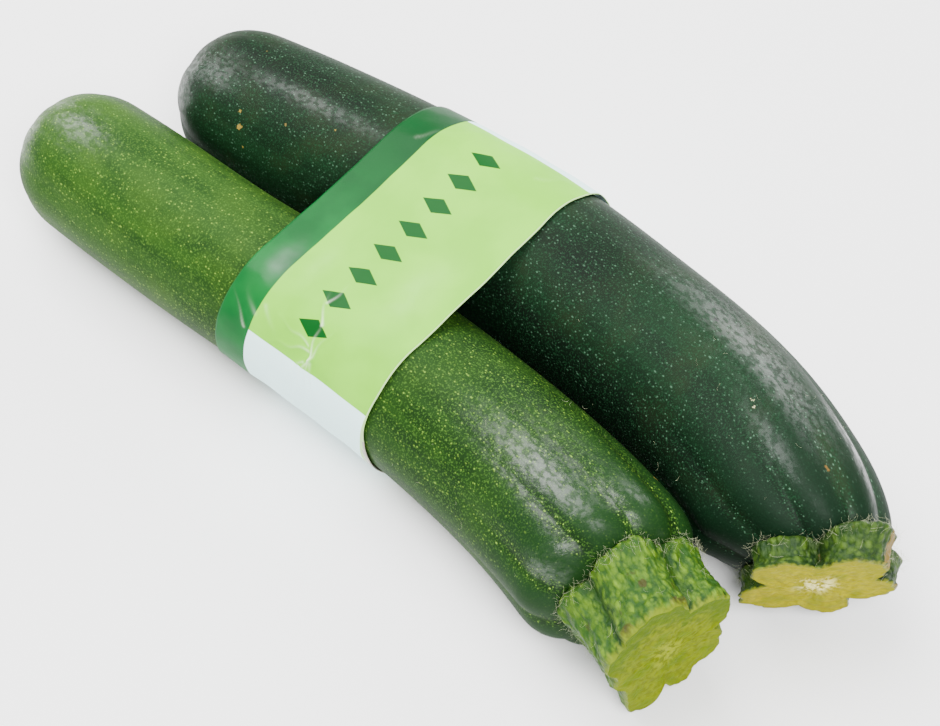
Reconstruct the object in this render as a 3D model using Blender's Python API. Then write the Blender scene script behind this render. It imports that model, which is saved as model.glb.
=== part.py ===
"""A pair of courgettes lying side by side, held together by a printed film band.

Metres, +Z up. The fruits lie along X with their cut stems towards +X. The origin is on the surface
that the pair rests on, under the middle of its outline. Each fruit with its stem stub grew as one
piece, so it is one closed body: a loft from a round, faintly ribbed fruit to a five-lobed stub.
"""

import math

import bmesh
import bpy
import numpy as np
from mathutils import Vector

MM = 0.001

SEGMENTS = 60
RIBS = 10
BLOSSOM_SHARE = (0.012, 0.05, 0.13, 0.27, 0.48, 0.74)
BODY_RINGS = 12
SHOULDER_SHARE = (0.14, 0.36, 0.57, 0.74, 0.87, 0.95, 0.99, 1.0)
CAP_POWER = 2.2
CUT_HOLLOW = 0.5 * MM

# A point that only just reaches the resting surface is lifted this far off it.
GRAZE = 0.07 * MM

# Share of the way from the collar to the cut, the size of the lobed section and how far it leans back.
STUB_RINGS = (
    (0.0, 0.92, 1.0),
    (0.07, 1.0, 0.85),
    (0.22, 0.985, 0.45),
    (0.45, 0.965, 0.15),
    (0.72, 0.965, 0.0),
    (0.95, 0.99, 0.0),
    (1.0, 0.965, 0.0),
)

# Middle of the pack's outline, in the numbers below.
PACK_CENTRE = Vector((-10.1, -0.3, 0.0)) * MM

BAND_BACK_X = -48.7 * MM
BAND_FRONT_X = -1.9 * MM
BAND_UNDER_REACH = 4.5 * MM
BAND_GAP = 0.55 * MM
BAND_FILM = 0.5 * MM
BAND_STATIONS = 5
BAND_ARC_POINTS = 20
BAND_SPAN_POINTS = 4
BAND_SAG = 0.7 * MM

# In mm and degrees. "line" runs from the blossom tip to the neck as x, y, radius and clearance under it.
# "collar" and "cut" are the two ends of the stub, each with an outline of lobes and the creases between
# them as angle, reach and lean back towards the fruit. Angles start at the side of +Y and rise upward.
LIGHT = {
    "name": "courgette_light",
    "line": (
        (-130.2, -27.6, 18.0, 0.9),
        (-91.0, -25.6, 19.1, -0.22),
        (-58.5, -23.9, 19.2, 1.1),
        (-26.2, -21.5, 19.8, 1.6),
        (6.2, -20.6, 20.2, 1.3),
        (38.6, -22.3, 21.0, -0.2),
        (66.8, -27.8, 22.2, -1.0),
    ),
    "neck_radius": 14.6,
    "blossom_depth": 19.0,
    "shoulder_depth": 16.0,
    "shoulder_power": 3.6,
    "rib_angle": 25.0,
    "collar": {
        "centre": (68.3, -27.8, 21.0),
        "normal": (0.885, -0.40, 0.20),
        "outline": (
            (28, 19.5, 0.0), (60, 15.5, 0.0), (93, 20.8, 1.2), (131, 15.0, 0.0), (161, 18.0, 0.6),
            (184, 14.6, 0.0), (200, 15.0, 0.3), (219, 13.2, 0.0), (243, 17.4, 1.0), (264, 14.5, 0.0),
            (284, 17.4, 1.0), (305, 14.2, 0.0), (327, 17.6, 1.0), (357, 15.5, 0.0),
        ),
    },
    "cut": {
        "centre": (83.2, -33.2, 21.0),
        "normal": (0.948, -0.293, 0.10),
        "outline": (
            (30, 19.0, 0.0), (66, 14.9, 0.0), (106, 21.0, 0.0), (130, 17.8, 0.0), (146, 18.2, 0.0),
            (173, 13.3, 0.0), (192, 13.6, 0.0), (215, 12.5, 0.0), (257, 20.6, 0.0), (269, 13.4, 0.0),
            (286, 17.2, 0.0), (303, 14.3, 0.0), (328, 16.4, 0.0), (362, 12.9, 0.0),
        ),
    },
    "colour": (0.105, 0.235, 0.036),
}
DARK = {
    "name": "courgette_dark",
    "line": (
        (-115.0, 11.0, 18.8, 0.7),
        (-76.0, 17.2, 20.7, -0.22),
        (-40.9, 21.4, 21.5, 1.45),
        (-7.8, 23.8, 22.2, 1.6),
        (25.3, 23.6, 22.3, 0.8),
        (58.5, 19.9, 22.4, -0.22),
        (93.3, 6.7, 21.4, 0.1),
    ),
    "neck_radius": 13.0,
    "blossom_depth": 21.0,
    "shoulder_depth": 21.0,
    "shoulder_power": 2.7,
    "rib_angle": 52.0,
    "collar": {
        "centre": (94.5, 5.3, 21.5),
        "normal": (0.70, -0.70, -0.10),
        "outline": (
            (-10, 19.6, 1.5), (24, 14.5, 0.0), (66, 21.0, 1.8), (97, 13.5, 0.0), (146, 19.0, 0.5),
            (173, 13.0, 0.0), (213, 18.0, 0.5), (259, 13.5, 0.0), (288, 17.5, 1.0), (317, 12.5, 0.0),
        ),
    },
    "cut": {
        "centre": (97.5, 1.4, 22.0),
        "normal": (0.67, -0.73, -0.13),
        "outline": (
            (-6, 17.6, 0.0), (23, 13.6, 0.0), (60, 19.3, 0.0), (97, 12.2, 0.0), (143, 19.3, 0.0),
            (173, 11.4, 0.0), (213, 18.9, 0.0), (259, 12.9, 0.0), (291, 18.3, 0.0), (316, 10.6, 0.0),
        ),
    },
    "colour": (0.018, 0.060, 0.028),
}


def spline(knots, values, at):
    """Natural cubic spline through values at knots; values may be points."""
    knots = np.asarray(knots, float)
    values = np.asarray(values, float)
    count = len(knots)
    step = np.diff(knots)
    matrix = np.eye(count)
    right = np.zeros_like(values)
    for i in range(1, count - 1):
        matrix[i, i - 1 : i + 2] = step[i - 1], 2 * (step[i - 1] + step[i]), step[i]
        rise = (values[i + 1] - values[i]) / step[i]
        right[i] = 6 * (rise - (values[i] - values[i - 1]) / step[i - 1])
    bend = np.linalg.solve(matrix, right)
    i = int(np.clip(np.searchsorted(knots, at) - 1, 0, count - 2))
    a, b = knots[i + 1] - at, at - knots[i]
    cubic = (bend[i] * a**3 + bend[i + 1] * b**3) / (6 * step[i])
    return (
        cubic
        + (values[i] / step[i] - bend[i] * step[i] / 6) * a
        + (values[i + 1] / step[i] - bend[i + 1] * step[i] / 6) * b
    )


def line_points(fruit):
    """The points that the fruit's centre line passes, from blossom tip to neck."""
    return np.array([(x, y, radius + under) for x, y, radius, under in fruit["line"]]) * MM - PACK_CENTRE


def line_stations(fruit):
    """Distance along the centre line at each of its points."""
    steps = np.linalg.norm(np.diff(line_points(fruit), axis=0), axis=1)
    return np.concatenate(([0.0], np.cumsum(steps))).tolist()


def centre_at(fruit, station):
    return Vector(spline(line_stations(fruit), line_points(fruit), station))


def fruit_radius(fruit, station):
    """Radius of the fruit at a station: a blunt blossom end, a long body and a shoulder down to the neck."""
    stations = line_stations(fruit)
    radii = np.array([point[2] for point in fruit["line"]])
    body = float(spline(stations, radii, station))
    to_tip = max(0.0, 1 - station / (fruit["blossom_depth"] * MM))
    to_neck = max(0.0, 1 - (stations[-1] - station) / (fruit["shoulder_depth"] * MM))
    shoulder = 1 - math.sqrt(max(0.0, 1 - to_neck ** fruit["shoulder_power"]))
    cap = math.sqrt(max(0.0, 1 - to_tip**CAP_POWER))
    return (body + (fruit["neck_radius"] - body) * shoulder) * cap * MM


def rib_depth(fruit, station):
    """How deep the grooves between the ribs are, as a share of the radius: deepest at the shoulder."""
    to_neck = (line_stations(fruit)[-1] - station) / (fruit["shoulder_depth"] * MM)
    to_tip = station / (fruit["blossom_depth"] * MM)
    return 0.008 + 0.062 * max(0.0, 1 - to_neck / 3.2) ** 2 + 0.02 * max(0.0, 1 - to_tip / 1.5)


def ribbed(fruit, angle, depth):
    """Round section with soft ribs: 1 on a rib, less in the groove between two."""
    turn = math.radians(angle - fruit["rib_angle"])
    return 1 - depth * (1 - abs(math.cos(RIBS / 2 * turn)))


def lobed(outline, angle):
    """Reach and lean of a lobed outline at an angle: rounded on a lobe, sharp in the crease between two."""
    first = outline[0][0]
    angle = first + (angle - first) % 360
    ring = list(outline) + [(first + 360, outline[0][1], outline[0][2])]
    for (start, *here), (end, *there) in zip(ring, ring[1:]):
        if start <= angle <= end:
            share = (angle - start) / (end - start)
            rising = here[0] < there[0]
            blend = math.sin(share * math.pi / 2) if rising else 1 - math.sin((1 - share) * math.pi / 2)
            return [(a + (b - a) * blend) * MM for a, b in zip(here, there)]


def between(collar, cut, share):
    """Centre, direction and outline of the stub at a share of the way from the collar to the cut."""
    centre = Vector(collar["centre"]).lerp(Vector(cut["centre"]), share) * MM - PACK_CENTRE
    start, end = Vector(collar["normal"]).normalized(), Vector(cut["normal"]).normalized()
    normal = start.lerp(end, share).normalized()
    outline = [
        tuple(a + (b - a) * share for a, b in zip(here, there))
        for here, there in zip(collar["outline"], cut["outline"])
    ]
    return centre, normal, outline


def ring_of_points(centre, normal, reach_and_lean):
    """A ring in the plane square to the normal; the function gives reach and lean back at an angle."""
    across = Vector((0, 0, 1)).cross(normal).normalized()
    upward = normal.cross(across)
    ring = []
    for i in range(SEGMENTS):
        turn = 2 * math.pi * i / SEGMENTS
        reach, lean = reach_and_lean(math.degrees(turn))
        ring.append(centre + reach * (math.cos(turn) * across + math.sin(turn) * upward) - lean * normal)
    return ring


def fruit_ring(fruit, station):
    """A ring of the fruit, which turns from square to its centre line to the plane of the stub's collar."""
    stations = line_stations(fruit)
    near, far = max(station - 0.5 * MM, 0.0), min(station + 0.5 * MM, stations[-1])
    along = (centre_at(fruit, far) - centre_at(fruit, near)).normalized()
    share = 1 - min(1.0, (stations[-1] - station) / (fruit["shoulder_depth"] * MM))
    collar_normal = Vector(fruit["collar"]["normal"]).normalized()
    normal = along.lerp(collar_normal, share * share * (3 - 2 * share)).normalized()
    radius, depth = fruit_radius(fruit, station), rib_depth(fruit, station)

    def reach_and_lean(angle):
        return radius * ribbed(fruit, angle, depth), 0.0

    return ring_of_points(centre_at(fruit, station), normal, reach_and_lean)


def fruit_sections(fruit):
    """All rings of one fruit from blossom tip to cut, with a point at either end."""
    neck = line_stations(fruit)[-1]
    blossom_depth, shoulder_depth = fruit["blossom_depth"] * MM, fruit["shoulder_depth"] * MM
    stations = [share * blossom_depth for share in BLOSSOM_SHARE]
    stations += np.linspace(blossom_depth, neck - shoulder_depth, BODY_RINGS).tolist()
    stations += [neck + (share - 1) * shoulder_depth for share in SHOULDER_SHARE]
    rings = [fruit_ring(fruit, station) for station in stations]
    for share, size, leaning in STUB_RINGS:
        centre, normal, outline = between(fruit["collar"], fruit["cut"], share)

        def reach_and_lean(angle):
            reach, lean = lobed(outline, angle)
            return size * reach, leaning * lean

        rings.append(ring_of_points(centre, normal, reach_and_lean))
    rings.append([point.lerp(centre, 0.5) for point in rings[-1]])
    return centre_at(fruit, 0.0), rings, centre - CUT_HOLLOW * normal


def loft(name, rings, first=None, last=None, closed=False):
    """A skin over rings of equal length, with end points first and last, or closed from last ring to first."""
    bm = bmesh.new()
    verts = [[bm.verts.new(point) for point in ring] for ring in rings]
    pairs = list(zip(verts, verts[1:])) + ([(verts[-1], verts[0])] if closed else [])
    for one, two in pairs:
        for i in range(len(one)):
            j = (i + 1) % len(one)
            bm.faces.new((one[i], one[j], two[j], two[i]))
    for point, ring, order in ((first, verts[0], -1), (last, verts[-1], 1)):
        if point is None:
            continue
        pole = bm.verts.new(point)
        for i in range(len(ring)):
            bm.faces.new((ring[i], ring[(i + 1) % len(ring)], pole)[::order])
    bmesh.ops.recalc_face_normals(bm, faces=bm.faces)
    mesh = bpy.data.meshes.new(name)
    bm.to_mesh(mesh)
    bm.free()
    return mesh


def flatten_underneath(mesh):
    """Cuts the mesh off at the resting surface, which leaves a small flat spot under each low point."""
    bm = bmesh.new()
    bm.from_mesh(mesh)
    for vert in bm.verts:
        if abs(vert.co.z) < GRAZE:
            vert.co.z = GRAZE
    geometry = bm.verts[:] + bm.edges[:] + bm.faces[:]
    cut = bmesh.ops.bisect_plane(
        bm, geom=geometry, dist=1e-6, plane_co=(0, 0, 0), plane_no=(0, 0, -1), clear_outer=True
    )
    rim = [item for item in cut["geom_cut"] if isinstance(item, bmesh.types.BMEdge)]
    bmesh.ops.edgeloop_fill(bm, edges=rim)
    bmesh.ops.recalc_face_normals(bm, faces=bm.faces)
    bm.to_mesh(mesh)
    bm.free()


def material(name, colour, roughness):
    made = bpy.data.materials.new(name)
    made.use_nodes = True
    shader = made.node_tree.nodes["Principled BSDF"]
    shader.inputs["Base Color"].default_value = (*colour, 1)
    shader.inputs["Roughness"].default_value = roughness
    shader.inputs["Metallic"].default_value = 0.0
    return made


def add_object(collection, mesh, name, made_of):
    obj = bpy.data.objects.new(name, mesh)
    mesh.materials.append(made_of)
    mesh.shade_smooth()
    mesh.set_sharp_from_angle(angle=math.radians(40))
    collection.objects.link(obj)
    return obj


def make_courgette(collection, fruit):
    tip, rings, cut_middle = fruit_sections(fruit)
    mesh = loft(fruit["name"], rings, tip, cut_middle)
    flatten_underneath(mesh)
    skin = material(fruit["name"] + "_skin", fruit["colour"], 0.35)
    return add_object(collection, mesh, fruit["name"], skin)


def circle_at(fruit, x):
    """Centre (y, z) and radius of the fruit where it crosses the plane at x."""
    stations = np.linspace(0, line_stations(fruit)[-1], 200)
    crossed = [centre_at(fruit, station).x for station in stations]
    station = float(np.interp(x - PACK_CENTRE.x, crossed, stations))
    return centre_at(fruit, station).yz, fruit_radius(fruit, station)


def band_outline(x, stand_off):
    """Taut loop round both fruits at x, stand_off outside them, as (y, z, how far underneath from 0 to 1)."""
    (light, light_r), (dark, dark_r) = circle_at(LIGHT, x), circle_at(DARK, x)
    between = dark - light
    heading = math.atan2(between.y, between.x)
    opening = math.acos((light_r - dark_r) / between.length)
    light_turns = np.linspace(heading + opening, heading + 2 * math.pi - opening, BAND_ARC_POINTS)
    dark_turns = np.linspace(heading - opening, heading + opening, BAND_ARC_POINTS)
    arcs = []
    for centre, radius, turns in ((light, light_r, light_turns), (dark, dark_r, dark_turns)):
        arcs.append([centre + (radius + stand_off) * Vector((math.cos(t), math.sin(t))) for t in turns])
    outline = list(arcs[0])
    for near, far, arc in ((arcs[0][-1], arcs[1][0], arcs[1]), (arcs[1][-1], arcs[0][0], [])):
        inward = ((light + dark) / 2 - (near + far) / 2).normalized()
        for i in range(1, BAND_SPAN_POINTS + 1):
            share = i / (BAND_SPAN_POINTS + 1)
            outline.append(near.lerp(far, share) + inward * BAND_SAG * math.sin(math.pi * share))
        outline += arc
    return outline


def make_band(collection):
    """A closed strip of film: the outer face forward, the inner face back, lofted as one skin."""
    faces = []
    for stand_off, shares in (
        (BAND_GAP + BAND_FILM, np.linspace(0, 1, BAND_STATIONS)),
        (BAND_GAP, np.linspace(1, 0, BAND_STATIONS)),
    ):
        for share in shares:
            straight_x = BAND_BACK_X + share * (BAND_FRONT_X - BAND_BACK_X)
            outline = band_outline(straight_x, stand_off)
            low, high = min(p.y for p in outline), max(p.y for p in outline)
            ring = []
            for point in outline:
                under = max(0.0, 1 - 2.4 * (point.y - low) / (high - low))
                x = straight_x + share * BAND_UNDER_REACH * under
                ring.append(Vector((x - PACK_CENTRE.x, point.x, point.y)))
            faces.append(ring)
    mesh = loft("band", faces, closed=True)
    return add_object(collection, mesh, "film_band", material("printed_film", (0.50, 0.76, 0.33), 0.25))


def main():
    for obj in list(bpy.data.objects):
        bpy.data.objects.remove(obj)
    pack = bpy.data.collections.new("courgette_pair")
    bpy.context.scene.collection.children.link(pack)
    make_courgette(pack, LIGHT)
    make_courgette(pack, DARK)
    make_band(pack)
    points = [obj.matrix_world @ Vector(v.co) for obj in pack.objects for v in obj.data.vertices]
    low = Vector(min(p[i] for p in points) for i in range(3))
    high = Vector(max(p[i] for p in points) for i in range(3))
    print("outline in mm", [round(v * 1000, 2) for v in low], [round(v * 1000, 2) for v in high])
    print("middle off the origin in mm", [round(v * 500, 2) for v in (low + high)])


main()
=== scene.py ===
# %% [markdown]
# # A pair of courgettes in a printed film band
# Two young marrows, picked small, lie side by side. Each ends in a lobed stub of its stem, and a strip of
# printed film holds the two together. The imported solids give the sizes. This lesson grows finer skins over
# them: grooves, specks, warts, hairs and the creases of the film.

import math

import bpy
import numpy as np
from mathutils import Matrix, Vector
from mathutils.bvhtree import BVHTree


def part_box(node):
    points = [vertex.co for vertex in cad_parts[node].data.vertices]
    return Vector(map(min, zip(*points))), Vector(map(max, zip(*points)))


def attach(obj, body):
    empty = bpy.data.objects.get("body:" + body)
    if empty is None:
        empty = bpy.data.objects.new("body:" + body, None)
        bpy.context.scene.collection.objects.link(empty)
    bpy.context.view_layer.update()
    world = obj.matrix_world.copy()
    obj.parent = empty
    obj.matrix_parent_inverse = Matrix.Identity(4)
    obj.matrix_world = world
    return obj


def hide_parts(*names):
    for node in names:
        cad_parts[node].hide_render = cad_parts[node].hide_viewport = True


MM = 0.001
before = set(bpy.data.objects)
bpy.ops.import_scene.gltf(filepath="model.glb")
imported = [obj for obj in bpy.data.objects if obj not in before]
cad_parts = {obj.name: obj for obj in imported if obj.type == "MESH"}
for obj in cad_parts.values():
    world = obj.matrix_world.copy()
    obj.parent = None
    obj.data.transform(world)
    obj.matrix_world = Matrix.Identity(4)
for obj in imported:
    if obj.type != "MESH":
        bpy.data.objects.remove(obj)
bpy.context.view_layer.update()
print("solids:", sorted(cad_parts))

# %% [markdown]
# ## The camera
# A product picture of this kind is taken from well above with a long lens, so the fruits hardly shrink
# towards the back. The camera stands 57 degrees above the table, on the side of the cut stems.

# %% Camera
AZIMUTH, ELEVATION = math.radians(42.69), math.radians(57.0)
towards_camera = Vector(
    (
        math.sin(AZIMUTH) * math.cos(ELEVATION),
        -math.cos(AZIMUTH) * math.cos(ELEVATION),
        math.sin(ELEVATION),
    )
)
camera_data = bpy.data.cameras.new("camera")
camera_data.lens = 76.6
camera_data.sensor_width = 36.0
camera = bpy.data.objects.new("camera", camera_data)
camera.location = Vector((185.99, -196.55, 419.37)) * MM
camera.rotation_euler = towards_camera.to_track_quat("Z", "Y").to_euler()
bpy.context.scene.collection.objects.link(camera)
bpy.context.scene.camera = camera
print("camera at", [round(v / MM) for v in camera.location], "mm")
print("view transform", bpy.context.scene.view_settings.view_transform, bpy.context.scene.view_settings.look)

# %% [markdown]
# ## The two fruits in numbers
# A courgette is a bent, blunt-ended cylinder, so a line through its middle and a radius along it say nearly
# everything. The stub has a lobed outline, star-shaped where it spreads over the shoulder and again where
# the knife went through. The numbers are the same as those of the solids: millimetres and degrees, with
# angles that start at the +Y side and rise upward.

# %% Shape of each fruit
# The line's points are x, y, radius and clearance under the fruit, from blossom tip to neck.
# An outline's points are angle, reach and lean back towards the fruit: a lobe, a crease, a lobe and so on.
LIGHT = {
    "node": "courgette_light",
    "line": (
        (-120.1, -27.3, 18.0, 0.9), (-80.9, -25.3, 19.1, -0.22), (-48.4, -23.6, 19.2, 1.1),
        (-16.1, -21.2, 19.8, 1.6), (16.3, -20.3, 20.2, 1.3), (48.7, -22.0, 21.0, -0.2),
        (76.9, -27.5, 22.2, -1.0),
    ),
    "neck_radius": 14.6,
    "blossom_depth": 19.0,
    "shoulder_depth": 16.0,
    "shoulder_power": 3.6,
    "rib_angle": 25.0,
    "facets": 0.0,
    "collar": ((78.4, -27.5, 21.0), (0.885, -0.40, 0.20)),
    "collar_outline": (
        (28, 18.0, 0.0), (60, 15.2, 0.0), (92, 18.6, 1.2), (131, 15.0, 0.0), (161, 18.0, 0.6),
        (184, 14.6, 0.0), (200, 15.0, 0.3), (219, 13.2, 0.0), (243, 17.4, 1.0), (264, 14.5, 0.0),
        (284, 17.4, 1.0), (305, 14.2, 0.0), (327, 17.6, 1.0), (357, 15.5, 0.0),
    ),
    "cut": ((93.3, -32.9, 21.0), (0.948, -0.293, 0.10)),
    "cut_outline": (
        (30, 19.0, 0.0), (66, 14.9, 0.0), (106, 21.0, 0.0), (130, 17.8, 0.0), (146, 18.2, 0.0),
        (173, 13.3, 0.0), (192, 13.6, 0.0), (215, 12.5, 0.0), (257, 20.6, 0.0), (269, 13.4, 0.0),
        (286, 17.2, 0.0), (303, 14.3, 0.0), (328, 16.4, 0.0), (362, 12.9, 0.0),
    ),
}
DARK = {
    "node": "courgette_dark",
    "line": (
        (-104.9, 11.3, 18.8, 0.7), (-65.9, 17.5, 20.7, -0.22), (-30.8, 21.7, 21.5, 1.45),
        (2.3, 24.1, 22.2, 1.6), (35.4, 23.9, 22.3, 0.8), (68.6, 20.2, 22.4, -0.22),
        (103.4, 7.0, 21.4, 0.1),
    ),
    "neck_radius": 13.0,
    "blossom_depth": 21.0,
    "shoulder_depth": 21.0,
    "shoulder_power": 2.7,
    "rib_angle": 52.0,
    "facets": 0.009,
    "collar": ((104.6, 5.6, 21.5), (0.70, -0.70, -0.10)),
    "collar_outline": (
        (-10, 19.6, 1.5), (24, 14.5, 0.0), (62, 23.2, 1.8), (97, 12.8, 0.0), (146, 17.6, 0.5),
        (173, 12.6, 0.0), (213, 18.0, 0.5), (259, 13.5, 0.0), (288, 17.5, 1.0), (317, 12.5, 0.0),
    ),
    "cut": ((107.6, 1.7, 22.0), (0.67, -0.73, -0.13)),
    "cut_outline": (
        (-6, 17.6, 0.0), (23, 13.6, 0.0), (60, 19.3, 0.0), (97, 12.2, 0.0), (143, 19.3, 0.0),
        (173, 11.4, 0.0), (213, 18.9, 0.0), (259, 12.9, 0.0), (291, 18.3, 0.0), (316, 10.6, 0.0),
    ),
}
for fruit in (LIGHT, DARK):
    low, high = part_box(fruit["node"])
    print(fruit["node"], "is", [round(v / MM, 1) for v in high - low], "mm")

# %% [markdown]
# ## Curves and closed skins
# A natural cubic spline is the curve that a thin springy strip takes through its points, which is also how
# a fruit bends as it grows. Every skin here is a stack of rings, so one function turns rings into a closed
# mesh, with all its faces looking outward.

# %% A smooth curve through points
def spline(knots, values, at):
    """Natural cubic spline through values at knots, for an array of places."""
    knots, values, at = np.asarray(knots, float), np.asarray(values, float), np.asarray(at, float)
    count, step = len(knots), np.diff(knots)
    matrix, right = np.eye(count), np.zeros_like(values)
    for i in range(1, count - 1):
        matrix[i, i - 1 : i + 2] = step[i - 1], 2 * (step[i - 1] + step[i]), step[i]
        rise = (values[i + 1] - values[i]) / step[i]
        right[i] = 6 * (rise - (values[i] - values[i - 1]) / step[i - 1])
    bend = np.linalg.solve(matrix, right)
    i = np.clip(np.searchsorted(knots, at) - 1, 0, count - 2)
    shape = (-1,) + (1,) * (values.ndim - 1)
    a, b, h = [v.reshape(shape) for v in (knots[i + 1] - at, at - knots[i], step[i])]
    cubic = (bend[i] * a**3 + bend[i + 1] * b**3) / (6 * h)
    return cubic + (values[i] / h - bend[i] * h / 6) * a + (values[i + 1] / h - bend[i + 1] * h / 6) * b


def unit(vectors):
    return vectors / np.linalg.norm(vectors, axis=-1, keepdims=True)


def smooth(low, high, value):
    """0 below low and 1 above high, with a soft step between."""
    share = np.clip((value - low) / (high - low), 0, 1)
    return share * share * (3 - 2 * share)


# %% Rings to a closed mesh
def ring_mesh(name, rings, first=None, last=None, looped=False):
    """A closed mesh over rings in mm; first and last are end points, looped joins its two end rings."""
    rows, around = rings.shape[:2]
    column = np.arange(around)
    following = (column + 1) % around
    starts = np.arange(rows if looped else rows - 1)[:, None] * around
    nexts = (starts + around) % (rows * around)
    quads = np.stack([starts + column, starts + following, nexts + following, nexts + column], axis=-1)
    faces = quads.reshape(-1, 4).tolist()
    points = rings.reshape(-1, 3).tolist()
    if first is not None:
        faces += [(len(points), j, i) for i, j in zip(column.tolist(), following.tolist())]
        points.append(list(first))
    if last is not None:
        end = (rows - 1) * around
        faces += [(len(points), end + i, end + j) for i, j in zip(column.tolist(), following.tolist())]
        points.append(list(last))
    mesh = bpy.data.meshes.new(name)
    mesh.from_pydata((np.array(points) * MM).tolist(), [], faces)
    mesh.shade_smooth()
    print(name, "has", len(mesh.polygons), "faces")
    return mesh


def keep_on_mesh(mesh, name, values):
    """Stores one vector for each point of a mesh, which a material reads with an Attribute node."""
    values = np.asarray(values, np.float32).reshape(-1, 3)
    spare = len(mesh.vertices) - len(values)
    values = np.concatenate([values, np.repeat(values[-1:], spare, axis=0)]) if spare else values
    mesh.attributes.new(name, "FLOAT_VECTOR", "POINT").data.foreach_set("vector", values.ravel())


def show(name, mesh, *materials):
    obj = bpy.data.objects.new(name, mesh)
    bpy.context.scene.collection.objects.link(obj)
    for made in materials:
        mesh.materials.append(made)
    return obj


# %% [markdown]
# ## The skin of a fruit
# Ten faint ribs run the whole length, shallow in the middle and deep at the shoulder, where the stem fed
# them. The groove between two ribs is sharp and the rib is round, which is what the absolute value of a
# cosine gives. On top come the soft lumps of something that grew. Each point also keeps where it would be
# on a straight fruit, so that specks and stripes follow the bend and close up at the blossom end.

# %% Surface of a fruit
FRUIT_AROUND = 240
FRUIT_ALONG = 290
CAP_POWER = 2.2
RIBS = 10
SCAR_DEPTH = 0.9  # mm, the dimple where the blossom fell off


def centre_line(fruit):
    points = np.array([(x, y, radius + under) for x, y, radius, under in fruit["line"]])
    steps = np.linalg.norm(np.diff(points, axis=0), axis=1)
    return points, np.concatenate(([0.0], np.cumsum(steps)))


def fruit_radius(fruit, stations):
    """A blunt blossom end, a long body and a shoulder down to the neck."""
    knots = centre_line(fruit)[1]
    body = spline(knots, [point[2] for point in fruit["line"]], stations)
    to_tip = np.clip(1 - stations / fruit["blossom_depth"], 0, 1)
    to_neck = np.clip(1 - (knots[-1] - stations) / fruit["shoulder_depth"], 0, 1)
    shoulder = 1 - np.sqrt(np.clip(1 - to_neck ** fruit["shoulder_power"], 0, 1))
    return (body + (fruit["neck_radius"] - body) * shoulder) * np.sqrt(np.clip(1 - to_tip**CAP_POWER, 0, 1))


def rib_depth(fruit, stations):
    """Depth of the grooves as a share of the radius."""
    to_neck = (centre_line(fruit)[1][-1] - stations) / fruit["shoulder_depth"]
    to_tip = stations / fruit["blossom_depth"]
    return 0.008 + 0.082 * np.clip(1 - to_neck / 3.2, 0, 1) ** 2 + 0.02 * np.clip(1 - to_tip / 1.5, 0, 1)


def ring_axes(fruit, stations):
    """Centre, forward, sideways and upward directions of the rings, which turn to the collar at the neck."""
    points, knots = centre_line(fruit)
    ahead = spline(knots, points, np.minimum(stations + 0.5, knots[-1]))
    behind = spline(knots, points, np.maximum(stations - 0.5, 0.0))
    turn = smooth(0, 1, 1 - (knots[-1] - stations) / fruit["shoulder_depth"])[:, None]
    along = unit(ahead - behind)
    normal = unit(along + (unit(np.array(fruit["collar"][1])) - along) * turn)
    across = unit(np.cross((0.0, 0.0, 1.0), normal))
    return spline(knots, points, stations), normal, across, np.cross(normal, across)


def lumps(fruit, stations, turns):
    """Low growth lumps in mm, at most 0.2 mm proud."""
    phase = 1.7 if fruit is DARK else 0.0
    waves = ((2, 0.045, 0.07, 0.4), (3, -0.071, 0.05, 2.1), (5, 0.13, 0.03, 0.9), (1, 0.09, 0.05, 4.0))
    return sum(h * np.sin(n * turns + k * stations + p + phase * n) for n, k, h, p in waves)


def fruit_rings(fruit):
    """Rings of points, the same rings on a straightened fruit, and groove, way to neck and way to tip."""
    neck = centre_line(fruit)[1][-1]
    tip_part = fruit["blossom_depth"] * (1 - np.cos(np.linspace(0, math.pi / 2, 60)[1:])) ** 1.15
    stations = np.concatenate([tip_part, np.linspace(fruit["blossom_depth"], neck, FRUIT_ALONG - 60)[1:]])
    turns = np.linspace(0, 2 * math.pi, FRUIT_AROUND, endpoint=False)
    s, a = stations[:, None], turns[None, :]
    groove = 1 - np.abs(np.cos(RIBS / 2 * (a - math.radians(fruit["rib_angle"]))))
    edge = 1 + 3.2 * (1 - smooth(5, 40, s))
    facet = 1 + fruit["facets"] * edge * np.cos(RIBS / 2 * (a - math.radians(fruit["rib_angle"] + 18)))
    ribbed = facet * (1 - rib_depth(fruit, stations)[:, None] * groove)
    reach = fruit_radius(fruit, stations)[:, None] * ribbed
    reach = reach + lumps(fruit, s, a) * smooth(0, 25, s) * smooth(0, 30, neck - s)
    centre, normal, across, upward = ring_axes(fruit, stations)
    direction = np.cos(a)[..., None] * across[:, None] + np.sin(a)[..., None] * upward[:, None]
    rings = centre[:, None] + reach[..., None] * direction
    dimple = SCAR_DEPTH * (1 - smooth(0.8, 3.2, reach)) * (s < fruit["blossom_depth"])
    rings = rings + dimple[..., None] * normal[:, None]
    rings[..., 2] = np.maximum(rings[..., 2], 0.0)
    straight = np.stack([reach * np.cos(a), reach * np.sin(a), s + 0 * a], axis=-1)
    growth = np.stack([groove + 0 * s, neck - s + 0 * a, s + 0 * a], axis=-1)
    return rings, straight, growth, reach, s, a
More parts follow.
